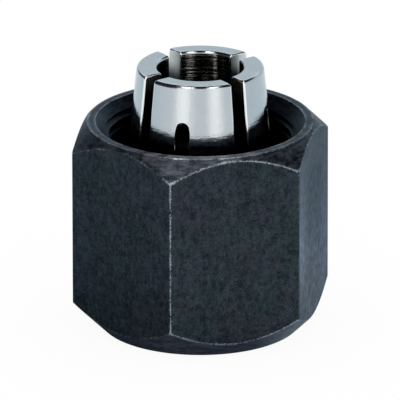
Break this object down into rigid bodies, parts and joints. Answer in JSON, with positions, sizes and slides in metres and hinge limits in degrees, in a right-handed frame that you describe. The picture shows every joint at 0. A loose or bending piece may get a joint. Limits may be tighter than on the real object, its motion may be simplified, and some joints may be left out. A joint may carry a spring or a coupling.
{
  "type": "router collet",
  "caption": "Slotted spring collet with a cylindrical clamping bore, held captive in a black hexagon nut with an internal fine thread.",
  "frame": {"origin": "middle of the nut's front face, the face that the part stands on", "axes": "+Z along the common axis, from the front face to the threaded rear end; two corners of the hexagon lie on the X axis and two flats face +Y and -Y"},
  "size_m": [0.0276, 0.024, 0.0279],
  "materials": {
    "black_oxide_steel": "black oxide on milled steel, satin, with bright rubbed edges",
    "ground_steel": "ground and polished bright steel",
    "spring_wire": "drawn spring wire, oiled"
  },
  "bodies": {
    "nut": {"collet_nut": "black_oxide_steel"},
    "ring": {"retaining_ring": "spring_wire"},
    "collet": {"spring_collet": "ground_steel"}
  },
  "joints": [
    {"name": "collet_spin", "type": "hinge", "parent": "nut", "child": "ring", "pos_m": [0, 0, 0.009], "axis": [0, 0, 1], "continuous": true},
    {"name": "collet_float", "type": "slide", "parent": "ring", "child": "collet", "axis": [0, 0, 1], "range_m": [0, 0.0004]}
  ]
}
